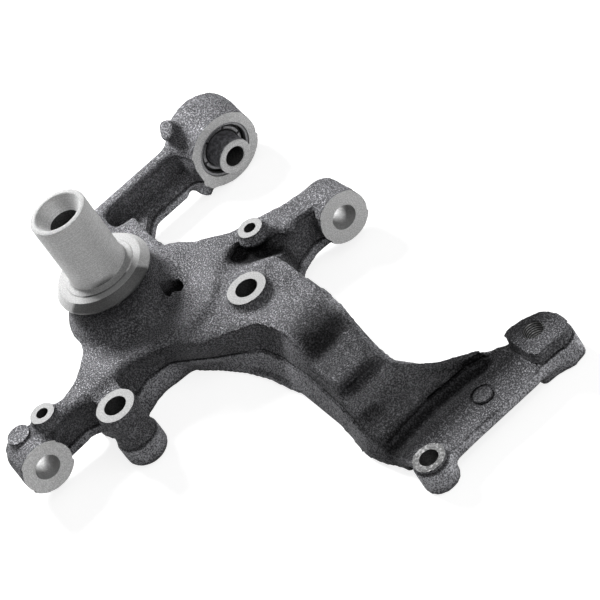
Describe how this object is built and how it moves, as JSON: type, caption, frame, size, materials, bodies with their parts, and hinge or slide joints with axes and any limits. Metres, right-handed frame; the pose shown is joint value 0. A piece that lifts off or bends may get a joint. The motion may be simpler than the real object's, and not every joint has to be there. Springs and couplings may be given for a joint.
{
  "type": "steering knuckle",
  "caption": "Cast knuckle with a hollow stub axle, two bolt lugs, caliper bosses, a long curved arm with a foot plate, and a rubber bush in the eye of its other arm.",
  "frame": {"origin": "centre line of the stub axle at the flange face that the wheel bearing seats on", "axes": "+Z out along the stub axle, +X along the two link bolts towards their machined faces, +Y towards the upper link lug"},
  "size_m": [0.3242, 0.2399, 0.107],
  "materials": {
    "casting": "sand-cast surface with a dark coat, machined faces bare",
    "sleeve_steel": "drawn tube",
    "bush_rubber": "moulded, matt",
    "core_steel": "turned sleeve, phosphate grey"
  },
  "bodies": {
    "root": {"knuckle_casting": "casting", "bush_outer_sleeve": "sleeve_steel", "bush_rubber": "bush_rubber", "bush_inner_sleeve": "core_steel"}
  },
  "joints": []
}
